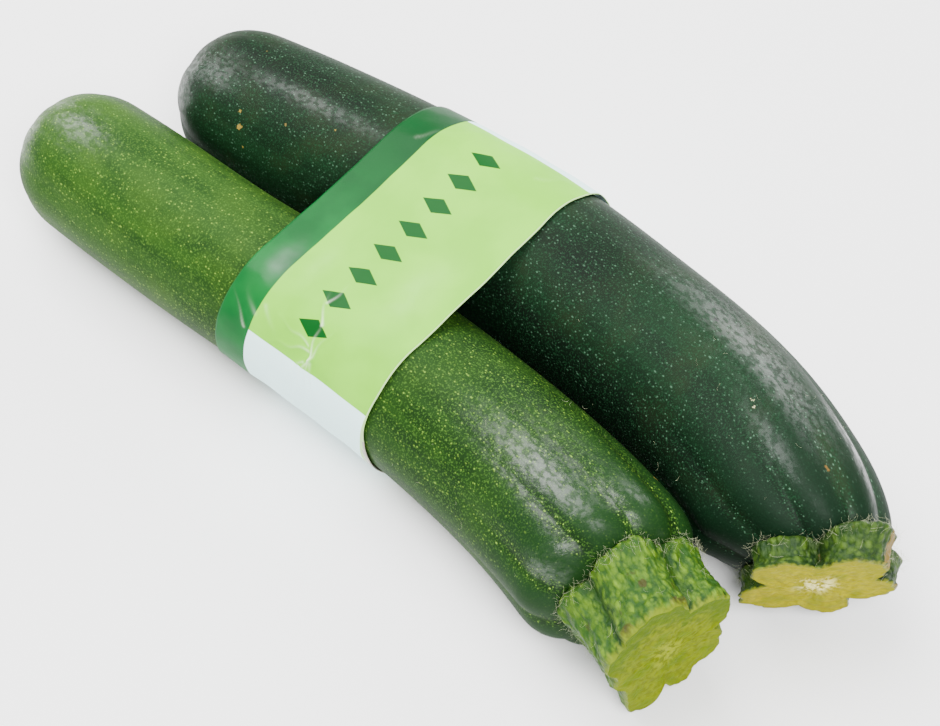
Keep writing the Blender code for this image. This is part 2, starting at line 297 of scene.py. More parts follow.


# %% [markdown]
# The wax on a courgette is dull where it grew undisturbed and shines where hands and crates have rubbed it.
# The rubbed patches are placed by the distance from the blossom tip and the angle round the fruit. Patches of
# painted shade, placed the same way, deepen the skin's colour where shade falls on it.

# %% Rubbed patches and painted shade
# Way from the tip, angle, half length and half width in mm, and how strongly it shines.
LIGHT["shines"] = (
    (171, 102, 14, 7.5, 1.0),
    (17, 90, 8, 5.5, 0.9),
    (6, 125, 6, 6.0, 0.5),
    (178, 84, 5, 1.6, 0.7),
    (186, 77, 7, 2.2, 1.0),
    (189, 66, 5, 1.2, 0.7),
    (187, 55, 6, 2.2, 1.0),
    (190, 27, 5, 2.2, 0.9),
    (191, 136, 5, 5.0, 0.9),
)
DARK["shines"] = (
    (171, 70, 20, 4.6, 1.0),
    (12, 113, 7, 5.5, 0.65),
    (8, 140, 5, 5.5, 0.5),
    (44, 101, 18, 1.8, 0.4),
    (196, 46, 8, 2.5, 0.8),
    (192, 98, 10, 2.0, 0.4),
)
# Painted shade: the skin's colour is deepened where the fruits face each other, low by the dark fruit's stub
# and at two places on its top, to stand in for shade. Way from the tip, angle, half length and half width in
# mm, and strength.
LIGHT["painted_shades"] = ((150, 8, 60, 9.0, 0.9), (60, 8, 40, 5.0, 0.5))
DARK["painted_shades"] = (
    (140, 165, 70, 13.0, 1.0),
    (60, 165, 45, 7.0, 0.3),
    (195, 200, 20, 25.0, 0.8),
    (35, 90, 45, 14.0, 0.7),
    (128, 95, 14, 16.0, 0.8),
)


def soft_spots(spots, steps):
    """How strongly the spots act at each point, from 0 to 1; steps gives the way to a spot's middle."""
    strongest = 0.0
    for *middle, length, width, strength in spots:
        along, across = steps(*middle)
        away = (along / length) ** 2 + (across / width) ** 2
        strongest = np.maximum(strongest, strength * np.exp(-0.8 * away))
    return strongest


# %% Make both skins
skins = {}
for fruit in (LIGHT, DARK):
    rings, straight, growth, reach, stations, turns = fruit_rings(fruit)

    def steps(at, angle):
        """Steps in mm along and across the skin, from a place on this fruit to all its points."""
        return stations - at, np.angle(np.exp(1j * (turns - math.radians(angle)))) * reach

    # The shines set the gloss of the rubbed wax; the second table gives painted shade in the colour.
    shine, painted_shade = [soft_spots(fruit[key], steps) for key in ("shines", "painted_shades")]
    centre, normal, _, _ = ring_axes(fruit, np.array([0.0, centre_line(fruit)[1][-1]]))
    mesh = ring_mesh(fruit["node"] + "_skin", rings, centre[0] + SCAR_DEPTH * normal[0], centre[1])
    keep_on_mesh(mesh, "straight", straight)
    keep_on_mesh(mesh, "growth", growth)
    keep_on_mesh(mesh, "patches", np.stack([shine, painted_shade, 0 * shine], axis=-1))
    skins[fruit["node"]] = mesh
    low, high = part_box(fruit["node"])
    spans = [(round(v.min(), 1), round(v.max(), 1)) for v in (rings[..., 0], np.array([low.x, high.x]) / MM)]
    print("  x from and to, mm:", spans[0], "and the solid's:", spans[1])

# %% [markdown]
# ## The stem stub
# Where the stem sits on the fruit it spreads in lobes that lie on the shoulder like the foot of a glass.
# The knife left a rough face of fibres around a paler pith. A ray from each point of the lobes back to the
# skin says how far to bend them so that they lie on it. Warts are small round hills added to the sides.

# %% Surface of a stub
# Counts of points and rows; in mm, a stub's usual radius, where rays start and how far they go, and how
# deep the pith lies; then the profile: at each share of the way to the cut, its size and its part of the bend.
STUB_AROUND = 400
STUB_ALONG = 56
CUT_ROWS = 34
STUB_RADIUS = 17.5
RAY_START, RAY_LENGTH = 4.0, 14.0
PITH_DEPTH = 0.6
FULL_TURN = 6.3
STUB_SHARE = (0.0, 0.03, 0.08, 0.22, 0.45, 0.72, 0.84, 0.91, 0.96, 1.0)
STUB_SIZE = (0.93, 0.985, 1.0, 0.97, 0.95, 0.965, 0.985, 0.985, 0.98, 0.955)
STUB_LEAN = (1.0, 1.0, 0.8, 0.4, 0.12, 0.0, 0.0, 0.0, 0.0, 0.0)


def lobed(outline, angles):
    """Reach and lean of a lobed outline: rounded on a lobe, sharp in the crease between two."""
    table = np.array(list(outline) + [(outline[0][0] + 360, *outline[0][1:])], float)
    turned = table[0, 0] + (angles - table[0, 0]) % 360
    i = np.clip(np.searchsorted(table[:, 0], turned, side="right") - 1, 0, len(table) - 2)
    share = (turned - table[i, 0]) / (table[i + 1, 0] - table[i, 0])
    rising = table[i, 1] < table[i + 1, 1]
    blend = np.where(rising, np.sin(share * math.pi / 2), 1 - np.sin((1 - share) * math.pi / 2))
    reach = table[i, 1] + (table[i + 1, 1] - table[i, 1]) * blend
    lean = table[i, 2] + (table[i + 1, 2] - table[i, 2]) * blend
    lobe = np.where(rising, blend, 1 - blend)
    return reach, lean, lobe


def stub_frame(fruit, share):
    """Centre and directions of the stub at a share of the way from collar to cut."""
    (centre, normal), (end, end_normal) = fruit["collar"], fruit["cut"]
    centre = np.array(centre) + (np.array(end) - np.array(centre)) * share
    start, finish = unit(np.array(normal)), unit(np.array(end_normal))
    normal = unit(start + (finish - start) * share)
    across = unit(np.cross((0.0, 0.0, 1.0), normal))
    return centre, normal, across, np.cross(normal, across)


def bend_onto_skin(fruit, tree, angles):
    """How far back each point of the collar has to lean so that it lies on the shoulder."""
    centre, normal, across, upward = stub_frame(fruit, 0.0)
    reach = lobed(fruit["collar_outline"], angles)[0]
    turns = np.radians(angles)
    extra = np.zeros(len(angles))
    for i, (r, t) in enumerate(zip(reach, turns)):
        point = centre + r * (math.cos(t) * across + math.sin(t) * upward) + RAY_START * normal
        hit = tree.ray_cast(Vector(point * MM), Vector(-normal), RAY_LENGTH * MM)[0]
        below = 3.0 if hit is None else (hit - Vector(point * MM)).length / MM - RAY_START
        extra[i] = np.clip(below - 0.25, -0.5, 3.0)
    window = np.hanning(13) / np.hanning(13).sum()
    return np.convolve(np.concatenate([extra[-6:], extra, extra[:6]]), window, mode="valid")


def beads(round_mm, along_mm, column_pitch, row_pitch, seed):
    """Beads set in loose columns over a strip: 0 between two, up to 1 on top of one. Distances are in mm."""
    random = np.random.default_rng(seed)
    columns = int(round(round_mm.max() / column_pitch)) + 1
    rows = int(along_mm.max() / row_pitch) + 3
    nudge = random.uniform(-0.36, 0.36, (columns, rows, 2))
    size = random.uniform(0.25, 1.0, (columns, rows))
    column, row = np.floor(round_mm / column_pitch).astype(int), np.floor(along_mm / row_pitch).astype(int)
    best = np.zeros(round_mm.shape)
    for i in (-1, 0, 1):
        for j in (-1, 0, 1):
            c, r = (column + i) % columns, np.clip(row + j, 0, rows - 1)
            across = round_mm - (column + i + 0.5 + nudge[c, r, 0]) * column_pitch
            along = along_mm - (row + j + 0.5 + nudge[c, r, 1]) * row_pitch
            away = np.hypot(across / (0.42 * column_pitch), along / (0.46 * row_pitch))
            best = np.maximum(best, size[c, r] * np.exp(-(away**2)))
    return best


def ripples(turns, along_mm, seed):
    """Uneven growth of the stub's sides as a height in mm, the same after a full turn."""
    random = np.random.default_rng(seed)
    height = np.zeros(np.broadcast(turns, along_mm).shape)
    for _ in range(26):
        waves = random.integers(5, 34)
        slope, phase = random.normal(0, 0.35), random.uniform(0, 2 * math.pi)
        height += 1.0 / waves * np.sin(waves * turns + slope * waves / 8 * along_mm + phase)
    return height


def stub_rings(fruit, tree):
    """Rings of the stub's sides, then of its cut face, with what its materials need at each point."""
    angles = np.linspace(0, 360, STUB_AROUND, endpoint=False)
    turns = np.radians(angles)
    bend = bend_onto_skin(fruit, tree, angles)
    shares = np.concatenate([[-0.1], np.linspace(0, 0.1, 10), np.linspace(0.1, 0.93, STUB_ALONG - 18)[1:],
                             np.linspace(0.93, 1.0, 8)[1:]])
    length = max(8.0, np.linalg.norm(np.array(fruit["cut"][0]) - np.array(fruit["collar"][0])))
    round_mm = np.broadcast_to(turns * STUB_RADIUS, (len(shares), STUB_AROUND))
    random = np.random.default_rng(23)
    bites = [
        (random.integers(16, 60), random.uniform(0, FULL_TURN), random.uniform(0.04, 0.12)) for _ in range(12)
    ]
    nibbled = sum(h * np.sin(n * turns + p) for n, p, h in bites)
    along_mm = np.broadcast_to(np.maximum(shares, 0)[:, None] * length, round_mm.shape)
    bead = beads(round_mm, along_mm, 1.2, 1.5, 5)
    uneven = ripples(round_mm / STUB_RADIUS, along_mm, 4)
    cosine, sine = np.cos(turns), np.sin(turns)
    rings, marks, flat = [], [], []
    for row, share in enumerate(shares):
        centre, normal, across, upward = stub_frame(fruit, max(share, 0.0))
        here, there = [lobed(fruit[k], angles) for k in ("collar_outline", "cut_outline")]
        reach, _, lobe = [a + (b - a) * max(share, 0.0) for a, b in zip(here, there)]
        size = 0.8 if share < 0 else np.interp(share, STUB_SHARE, STUB_SIZE)
        leaning = np.interp(share, STUB_SHARE, STUB_LEAN) * bend + (1.5 if share < 0 else 0.0)
        bead_height = 0.42 * bead[row] * smooth(0.0, 0.08, share) * (1 - smooth(0.86, 0.97, share))
        reach = size * reach + bead_height + 1.2 * uneven[row] * smooth(-0.02, 0.04, share)
        reach = reach + nibbled * (smooth(0.6, 1, share) + smooth(0.2, 0, share) * (share >= 0))
        spokes = cosine[:, None] * across + sine[:, None] * upward
        rings.append(centre + reach[:, None] * spokes - leaning[:, None] * normal)
        marks.append(np.stack([0 * reach + share, lobe, bead[row]], axis=-1))
        flat.append(np.stack([reach * cosine, reach * sine, 0 * reach + share * length], axis=-1))
    edge = reach
    random = np.random.default_rng(11)
    waves = [
        (random.integers(3, 40), random.uniform(0, FULL_TURN), random.uniform(0.3, 1.0)) for _ in range(14)
    ]
    fibres = sum(h * np.sin(n * turns + p) for n, p, h in waves) / 4
    for share in np.linspace(1, 0, CUT_ROWS + 1)[1:-1]:
        rough = 0.16 * fibres * smooth(0, 0.3, share) * (1.15 - share) - 0.55 * (1 - share**3)
        rough = rough + 0.12 * np.sin(9 * share * math.pi + 3 * np.sin(2 * turns))
        inner = edge * share
        rings.append(centre + inner[:, None] * spokes + rough[:, None] * normal)
        marks.append(np.stack([0 * inner + 1 + (1 - share), lobe, 0 * inner], axis=-1))
        flat.append(np.stack([inner * cosine, inner * sine, 0 * inner + length], axis=-1))
    return np.array(rings), np.array(marks), np.array(flat), len(shares)


# %% Make both stubs
# Dry, papery places: angle, share of the way to the cut, half width in degrees and half length in shares.
LIGHT["dry"] = ((78, 0.93, 9, 0.10), (96, 0.55, 3, 0.06), (120, 0.95, 6, 0.10))
DARK["dry"] = ((47, 0.5, 6, 0.7), (40, 0.95, 14, 0.15), (-2, 1.0, 10, 0.2))
stubs = {}
for fruit in (LIGHT, DARK):
    skin = skins[fruit["node"]]
    tree = BVHTree.FromPolygons([v.co for v in skin.vertices], [p.vertices[:] for p in skin.polygons])
    rings, marks, flat, side_rows = stub_rings(fruit, tree)
    rings[..., 2] = np.maximum(rings[..., 2], 0.05)
    end_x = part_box(fruit["node"])[1].x / MM
    rings[..., 0] = np.minimum(rings[..., 0], end_x - 0.1)
    centre, normal, _, _ = stub_frame(fruit, 1.0)
    mesh = ring_mesh(fruit["node"] + "_stub", rings, rings[0].mean(axis=0), centre - PITH_DEPTH * normal)
    keep_on_mesh(mesh, "stub", marks)
    keep_on_mesh(mesh, "plane", flat)
    around = np.degrees(np.arctan2(flat[..., 1], flat[..., 0]))
    dry = np.zeros(around.shape)
    for angle, share, half_angle, half_share in fruit["dry"]:
        away = ((around - angle) / half_angle) ** 2 + ((marks[..., 0] - share) / half_share) ** 2
        dry = np.maximum(dry, np.exp(-away))
    keep_on_mesh(mesh, "dry", np.stack([dry, 0 * dry, 0 * dry], axis=-1))
    on_cut = np.zeros(len(mesh.polygons), np.int32)
    on_cut[(side_rows - 1) * STUB_AROUND : (len(rings) - 1) * STUB_AROUND] = 1
    on_cut[-STUB_AROUND:] = 1
    mesh.polygons.foreach_set("material_index", on_cut)
    stubs[fruit["node"]] = mesh
    print("  reaches x", round(rings[..., 0].max(), 1), "mm; the solid's is", round(end_x, 1))

# %% [markdown]
# ## The film band
# The band is one strip of film, pulled tight and welded into a loop. It lies on both fruits and spans the
# valley between them. Its outline at any place is two arcs and two straight spans, as for a belt round two
# pulleys. Creases are narrow ridges drawn along lines on the unrolled strip, where they're easy to place.

# %% Outline of the band
BAND_BACK_X, BAND_FRONT_X = -38.6, 8.2
BAND_UNDER_REACH = 4.5
FILM_CLEARANCE, FILM_THICKNESS = 0.45, 0.15
LIGHT_LOW_POINTS, LIGHT_TOP_POINTS, DARK_POINTS, SPAN_POINTS = 40, 170, 110, 40
LIGHT_POINTS = LIGHT_LOW_POINTS + LIGHT_TOP_POINTS


def circle_at(fruit, x):
    """Centre (y, z) and radius of the fruit where it crosses the plane at x."""
    points, knots = centre_line(fruit)
    stations = np.linspace(0, knots[-1], 400)
    centres = spline(knots, points, stations)
    station = np.array([np.interp(x, centres[:, 0], stations)])
    return spline(knots, points, station)[0, 1:], fruit_radius(fruit, station)[0]


def band_outline(x, stand_off):
    """Loop round both fruits as y and z, from the middle of the underside round the light fruit first."""
    (light, light_r), (dark, dark_r) = circle_at(LIGHT, x), circle_at(DARK, x)
    gap = dark - light
    heading = math.atan2(gap[1], gap[0])
    opening = math.acos((light_r - dark_r) / np.linalg.norm(gap))
    low_turns = np.linspace(2 * math.pi - opening, math.pi, LIGHT_LOW_POINTS, endpoint=False)
    top_turns = np.linspace(math.pi, opening, LIGHT_TOP_POINTS)
    light_turns = np.concatenate([low_turns, top_turns])
    dark_turns = np.linspace(opening, -opening, DARK_POINTS)
    arcs = []
    for centre, radius, turns in ((light, light_r, light_turns), (dark, dark_r, dark_turns)):
        around = np.stack([np.cos(heading + turns), np.sin(heading + turns)], axis=-1)
        arcs.append(centre + (radius + stand_off) * around)
    spans = []
    for start, end in ((arcs[0][-1], arcs[1][0]), (arcs[1][-1], arcs[0][0])):
        share = np.linspace(0, 1, SPAN_POINTS + 2)[1:-1, None]
        inward = unit((light + dark) / 2 - (start + end) / 2)
        spans.append(start + (end - start) * share + inward * 0.7 * np.sin(math.pi * share))
    half = SPAN_POINTS // 2
    return np.concatenate([spans[1][half:], arcs[0], spans[0], arcs[1], spans[1][:half]])


# %% Creases of the film
loop = band_outline((BAND_BACK_X + BAND_FRONT_X) / 2, FILM_CLEARANCE)
loop_steps = np.linalg.norm(np.roll(loop, -1, axis=0) - loop, axis=1)
around_loop = np.concatenate(([0.0], np.cumsum(loop_steps)))
loop_length = around_loop[-1]
valley = around_loop[SPAN_POINTS - SPAN_POINTS // 2 + LIGHT_POINTS]
print("the loop is", round(loop_length, 1), "mm long; the light fruit's top is at", round(valley, 1), "mm")

# Each crease runs from one place on the unrolled strip, where it's sharpest, to another, as (round, along) in
# mm from the light fruit's top and the back edge, with its half width, its height and how much whitish colour
# is painted along it, part the whitening of the fold and part a painted highlight on its ridge. Most of them
# spread like rays from one knot, where the film was pinched.
CREASES = (
    (-17.0, 27.2, -6.5, 24.6, 0.5, 0.45, 1.0),
    (-9.0, 25.3, -1.0, 21.0, 0.6, 0.30, 0.8),
    (-4.0, 23.2, 3.0, 23.6, 0.6, 0.20, 0.5),
    (-17.0, 27.2, -8.5, 28.8, 0.5, 0.30, 0.6),
    (-17.0, 27.2, -27.5, 25.4, 0.6, 0.45, 0.9),
    (-17.0, 27.2, -26.0, 28.6, 0.5, 0.30, 0.7),
    (-17.0, 27.2, -24.5, 31.5, 0.6, 0.24, 0.5),
    (-19.0, 26.0, -25.0, 21.5, 0.6, 0.20, 0.4),
    (-15.5, 26.0, -19.0, 16.0, 0.6, 0.24, 0.45),
    (-14.5, 25.4, -13.0, 14.5, 0.6, 0.20, 0.35),
    (-12.5, 11.0, -18.5, 17.0, 1.1, 0.16, 0.2),
    (-20.0, 8.0, -13.0, 0.5, 0.7, 0.20, 0.35),
    (-16.0, 9.0, -10.0, 3.0, 1.1, 0.12, 0.15),
    (-28.0, 12.0, -21.0, 14.0, 0.9, 0.18, 0.3),
    (2.0, 8.0, 30.0, 13.0, 2.0, 0.16, 0.0),
    (1.0, 34.0, 16.0, 39.0, 2.4, 0.22, 0.0),
    (8.0, 22.0, 26.0, 30.0, 2.2, 0.14, 0.0),
    (45.0, 6.0, 58.0, 16.0, 1.0, 0.12, 0.1),
    (52.0, 36.0, 62.0, 44.0, 1.0, 0.12, 0.1),
)
# Where the film lies smooth and mirrors a lamp: round, along, half sizes and strength.
GLOSSY = (
    (-2.0, 6.5, 4.5, 2.2, 0.8),
    (-12.0, 3.0, 7.0, 2.5, 0.15),
    (10.0, 37.0, 9.0, 3.5, 0.4),
    (3.0, 14.0, 5.0, 2.0, 0.3),
)


def crease_height(u, v):
    """Height in mm of the film over the strip, and from 0 to 1 the whitish colour painted along its creases:
    fold whitening and painted highlight.
    """
    height = 0.05 * np.sin(u * 0.42 + 0.3 * v) + 0.04 * np.sin(v * 0.5 + 0.21 * u + 1.0) + 0.07
    height = height + 0.03 * np.sin(u * 0.9 - 0.5 * v + 2.0)
    sharp = np.zeros_like(u)
    u, v = u + 0.35 * np.sin(0.9 * v + 0.4 * u), v + 0.35 * np.sin(0.8 * u + 1.0)
    for u0, v0, u1, v1, width, rise, whitening_and_highlight in CREASES:
        du, dv = u1 - u0, v1 - v0
        share = np.clip(((u - valley - u0) * du + (v - v0) * dv) / (du * du + dv * dv), 0, 1)
        away = np.hypot(u - valley - u0 - share * du, v - v0 - share * dv)
        ridge = np.exp(-((away / width) ** 2)) * (1 - 0.7 * share)
        height = height + rise * ridge
        sharp = np.maximum(sharp, whitening_and_highlight * ridge**4)
    return height, sharp


def glossy(u, v):
    """How much the film shines at each place of the strip, from 0 to 1."""
    return soft_spots(GLOSSY, lambda at, along: (u - valley - at, v - along))


# %% Make the band
BAND_WIDTH = BAND_FRONT_X - BAND_BACK_X
# Rows along the strip stand closest where the knot of creases is.
band_places = np.concatenate(
    [np.linspace(0, 17, 36), np.linspace(17, 36, 70)[1:], np.linspace(36, BAND_WIDTH, 18)[1:]]
)


def band_face(stand_off, places):
    """Rows of the band's outer or inner face, with the strip's own coordinates and its creases."""
    rows, strip, state = [], [], []
    u = around_loop[:-1]
    for v in places:
        x = BAND_BACK_X + v
        outline = band_outline(x, 0.0)
        tangent = unit(np.roll(outline, -1, axis=0) - np.roll(outline, 1, axis=0))
        outward = np.stack([-tangent[:, 1], tangent[:, 0]], axis=-1)
        height, sharp = crease_height(u, v)
        outline = outline + outward * (stand_off + height)[:, None]
        low, high = outline[:, 1].min(), outline[:, 1].max()
        under = smooth(0, 1, 1 - 1.35 * (outline[:, 1] - low) / (high - low))
        under = under + (outline[:, 0] > 20) * smooth(30, 22, outline[:, 1]) * 0.6
        reach = v / BAND_WIDTH * BAND_UNDER_REACH * np.clip(under, 0, 1)
        edge = 0.12 * np.sin(u * 0.35 + 2) * v / BAND_WIDTH
        rows.append(np.stack([x + reach + edge, outline[:, 0], outline[:, 1]], axis=-1))
        strip.append(np.stack([u, v + reach, reach], axis=-1))
        state.append(np.stack([sharp, glossy(u, v), 0 * u], axis=-1))
    return rows, strip, state


outer = band_face(FILM_CLEARANCE + FILM_THICKNESS, band_places)
inner = band_face(FILM_CLEARANCE, band_places[::-1])
band_rings, band_strip, band_state = [np.array(o + i) for o, i in zip(outer, inner)]
band_mesh = ring_mesh("film_band_print", band_rings[:, ::-1], looped=True)
keep_on_mesh(band_mesh, "film", band_state[:, ::-1])
strip_map = band_mesh.uv_layers.new(name="strip")
corners = np.zeros(len(band_mesh.loops), np.int32)
band_mesh.loops.foreach_get("vertex_index", corners)
uv = band_strip[:, ::-1].reshape(-1, 3)[corners, :2]
wrapped = uv.reshape(-1, 4, 2)
over_seam = wrapped[..., 0].max(axis=1) - wrapped[..., 0].min(axis=1) > loop_length / 2
wrapped[over_seam, :, 0] += np.where(wrapped[over_seam, :, 0] < loop_length / 2, loop_length, 0)
strip_map.data.foreach_set("uv", wrapped.reshape(-1).astype(np.float32))
print("band z from", round(band_rings[..., 2].min(), 2), "to", round(band_rings[..., 2].max(), 2), "mm")

# %% [markdown]
# ## Tools for the finishes
# A finish is a small network of nodes. One helper adds a node with its settings and links, and one turns a
# colour as a painter would read it off a screen (sRGB hex) into the linear light that a renderer adds up.

# %% Node and colour helpers
def hex_colour(code, alpha=1.0):
    channels = [int(code[i : i + 2], 16) / 255 for i in (1, 3, 5)]
    return tuple(c / 12.92 if c <= 0.04045 else ((c + 0.055) / 1.055) ** 2.4 for c in channels) + (alpha,)


# Settings that many nodes share: a Mix of colours, and a Map Range that eases in and out.
IN_COLOUR = {"data_type": "RGBA"}
SOFTLY = {"interpolation_type": "SMOOTHSTEP"}


def feed(tree, made, inputs):
    """Gives a node its inputs: each is a value, or the output that it is linked from."""
    for key, value in inputs.items():
        if isinstance(value, bpy.types.NodeSocket):
            tree.links.new(value, made.inputs[key])
        else:
            made.inputs[key].default_value = value


def node(tree, kind, inputs=(), **settings):
    """Adds a node with its settings and inputs, and returns its outputs."""
    made = tree.nodes.new(kind if "Node" in kind else "ShaderNode" + kind)
    for name, value in settings.items():
        setattr(made, name, value)
    feed(tree, made, dict(inputs))
    return made.outputs


def node_rows(tree, kind, keys, rows, **settings):
    """One node for each row of inputs, under these keys; returns the first output of each."""
    return [node(tree, kind, zip(keys, row), **settings)[0] for row in rows]


def finish_of(name, **colours):
    """A new material, its node tree and its shader, with its table of colours in linear light."""
    made = bpy.data.materials.new(name)
    made.use_nodes = True
    linear = {key: hex_colour(code) for key, code in colours.items()}
    return made, made.node_tree, made.node_tree.nodes["Principled BSDF"], linear


# %% [markdown]
# ## Courgette skin
# The skin is a thin waxy cuticle over green cells: smooth to the touch, with a soft wide sheen where the wax
# is rubbed and a fine grain in it. Stripes of deeper green follow the ribs. The pale specks are breathing
# pores ringed with corky cells, each 0.2 to 0.4 mm wide and about 1 mm from the next. They are slices
# through a field of small balls that is laid out on the straightened fruit, so no two look the same.

# %% Skin finish
# Scale along the fruit against across it (0.1 draws a lump out to ten times its width), lumps per mm, detail.
SKIN_NOISES = {
    "stripes": (0.1, 0.2, 3.0),
    "clouds": (1.0, 0.07, 4.0),
    "flecks": (1.0, 1.1, 4.0),
    "speckles": (1.0, 2.2, 2.0),
    "grain": (1.0, 1.5, 4.0),
    "soft lumps": (1.0, 0.3, 2.0),
    "rubs": (0.6, 0.9, 5.0),
}


def skin_finish(name, colours, pale_from, speck_share, speck_cell, marks):
    """Skin with stripes, specks and rubbed wax; sizes in mm. A mark is its place, its size and its colour."""
    made, tree, shader, colours = finish_of(name, **colours)
    kept = ("straight", "growth", "patches")
    place, growth, patches = [node(tree, "Attribute", attribute_name=name)["Vector"] for name in kept]
    groove, to_neck, _ = node(tree, "SeparateXYZ", {0: growth})
    shine, painted_shade, _ = node(tree, "SeparateXYZ", {0: patches})
    noises = []
    for along, scale, detail in SKIN_NOISES.values():
        drawn = node(tree, "VectorMath", {0: place, 1: (1, 1, along)}, operation="MULTIPLY")[0]
        noises.append(node(tree, "TexNoise", {"Vector": drawn, "Scale": scale, "Detail": detail})[0])
    stripes, clouds, fine, speckled, grain, soft, rubs = noises

    # How much of each colour lies over the ones before it.
    shares = node_rows(tree, "MapRange", (0, 1, 2, 4), (
        (stripes, 0.36, 0.64, 1.0),
        (clouds, 0.45, 0.7, 0.7),
        (fine, 0.52, 0.75, 0.5),
        (speckled, 0.5, 0.68, 0.6),
        (to_neck, 40.0, 6.0, 1.0),
        (groove, 0.75, 0.25, 0.85),
    ), **SOFTLY)
    striped, clouded, flecked, grained, shoulder, on_crest = shares
    older = node(tree, "MapRange", {0: to_neck, 1: pale_from, 2: 0.0})[0]
    crest = node(tree, "Math", {0: shoulder, 1: on_crest}, operation="MULTIPLY")[0]

    # Each ball's luck sets its radius and how pale its speck is. The second field is coarser and sparser.
    layers = []
    for cell, least, most, stretch in ((speck_cell, 0.1, 0.19, 0.8), (speck_cell * 2.4, 0.11, 0.22, 0.6)):
        cells = node(tree, "VectorMath", {0: place, 1: (1, 1, stretch)}, operation="MULTIPLY")[0]
        balls = node(tree, "TexVoronoi", {"Vector": cells, "Scale": 1 / cell})
        luck = node(tree, "SeparateColor", {0: balls["Color"]})[0]
        radius = node(tree, "MapRange", {0: luck, 3: least / cell, 4: most / cell}, **SOFTLY)[0]
        ratio = node(tree, "Math", {0: balls["Distance"], 1: radius}, operation="DIVIDE")[0]
        inside = node(tree, "MapRange", {0: ratio, 1: 1.5, 2: 0.5}, **SOFTLY)[0]
        bright = node(tree, "MapRange", {0: luck, 1: 0.1, 3: 0.2, 4: 0.9}, **SOFTLY)[0]
        layers.append(node(tree, "Math", {0: inside, 1: bright}, operation="MULTIPLY")[0])
    speck = node(tree, "Math", {0: layers[0], 1: layers[1]}, operation="MAXIMUM")[0]
    fewer = node(tree, "MapRange", {0: clouds, 1: 0.3, 2: 0.55, 3: 0.55}, **SOFTLY)[0]
    in_groove = node(tree, "MapRange", {0: groove, 1: 0.2, 2: 0.8, 3: 0.15, 4: 1.5}, **SOFTLY)[0]
    amount = node(tree, "Mix", {0: shoulder, 2: fewer, 3: in_groove})[0]
    speckles = node(tree, "Math", {0: speck, 1: amount}, operation="MULTIPLY")[0]
    speckles = node(tree, "Math", {0: speckles, 1: speck_share}, operation="MULTIPLY")[0]

    # Scars and stuck-on bits are ragged spots at known places of the straightened fruit.
    ragged = node(tree, "TexNoise", {"Vector": place, "Scale": 1.3, "Detail": 2.0})[1]
    wobble = node(tree, "VectorMath", {0: ragged, 1: (0.5, 0.5, 0.5)}, operation="SUBTRACT")[0]
    frayed = node(tree, "VectorMath", {0: wobble, 1: (1.6, 1.6, 1.6), 2: place}, operation="MULTIPLY_ADD")
    spots = []
    for (way, angle, radius), size, tint in marks:
        turn = math.radians(angle)
        middle = {0: frayed[0], 1: (radius * math.cos(turn), radius * math.sin(turn), way)}
        away = node(tree, "VectorMath", middle, operation="DISTANCE")[1]
        share = node(tree, "MapRange", {0: away, 1: size, 2: 0.6 * size, 4: 0.85}, **SOFTLY)[0]
        spots.append((share, hex_colour(tint), "MIX"))

    # Painted shade: one of these layers multiplies in a grey-blue where the fruits face each other, by the
    # dark fruit's stub and on parts of its top, to stand in for shade.
    colour = colours["deep"]
    for share, tint, blend in [
        (striped, colours["green"], "MIX"),
        (clouded, colours["bright"], "MIX"),
        (flecked, colours["fleck"], "MIX"),
        (older, colours["stemward"], "MULTIPLY"),
        (painted_shade, colours["painted_shade_tint"], "MULTIPLY"),
        (grained, colours["grain"], "MIX"),
        (crest, colours["crest"], "MIX"),
        (speckles, colours["speck"], "MIX"),
    ] + spots:
        colour = node(tree, "Mix", {0: share, 6: colour, 7: tint}, **IN_COLOUR, blend_type=blend)[2]

    height = grain
    for value, weight in ((speck, 0.6), (soft, 1.6)):
        height = node(tree, "Math", {0: value, 1: weight, 2: height}, operation="MULTIPLY_ADD")[0]
    bump = node(tree, "Bump", {"Height": height, "Strength": 1.0, "Distance": 0.05 * MM})[0]
    uneven = node(tree, "MapRange", {0: rubs, 1: 0.4, 2: 0.58, 3: 0.4, 4: 1.3}, **SOFTLY)[0]
    rubbed = node(tree, "Math", {0: shine, 1: uneven}, operation="MULTIPLY")[0]
    rough = node(tree, "Mix", {0: rubbed, 2: 0.6, 3: 0.38})[0]
    coat = node(tree, "Math", {0: rubbed, 1: 0.85}, operation="MULTIPLY")[0]
    feed(tree, shader, {"Base Color": colour, "Roughness": rough, "Coat Weight": coat})
    feed(tree, shader, {"Normal": bump, "Coat Normal": bump})
    feed(tree, shader, {"IOR": 1.45, "Specular IOR Level": 0.11, "Coat Roughness": 0.27})
    return made


# Each colour of the light fruit's skin and of the dark fruit's.
SKIN_COLOURS = {
    "deep": ("#183609", "#071c0b"),
    "green": ("#254510", "#0c2711"),
    "bright": ("#304e12", "#1d2c14"),
    "fleck": ("#3a5a16", "#102f1a"),
    "crest": ("#0e2c0c", "#061c0d"),
    "stemward": ("#78a494", "#dce8f0"),
    # Painted shade: a grey-blue multiplied into the skin where shade falls.
    "painted_shade_tint": ("#68787c", "#68787c"),
    "grain": ("#3e6220", "#153820"),
    "speck": ("#6f9430", "#40604a"),
}
light_skin = skin_finish(
    "light_courgette_skin",
    {key: pair[0] for key, pair in SKIN_COLOURS.items()},
    pale_from=180.0,
    speck_share=0.85,
    speck_cell=0.86,
    marks=(
        ((183, 27, 21), 0.9, "#8a7a3a"),
        ((172, 99, 21), 0.5, "#14260c"),
        ((174, 104, 21), 0.4, "#14260c"),
        ((7.5, 121, 13), 1.1, "#2a3a12"),
    ),
)
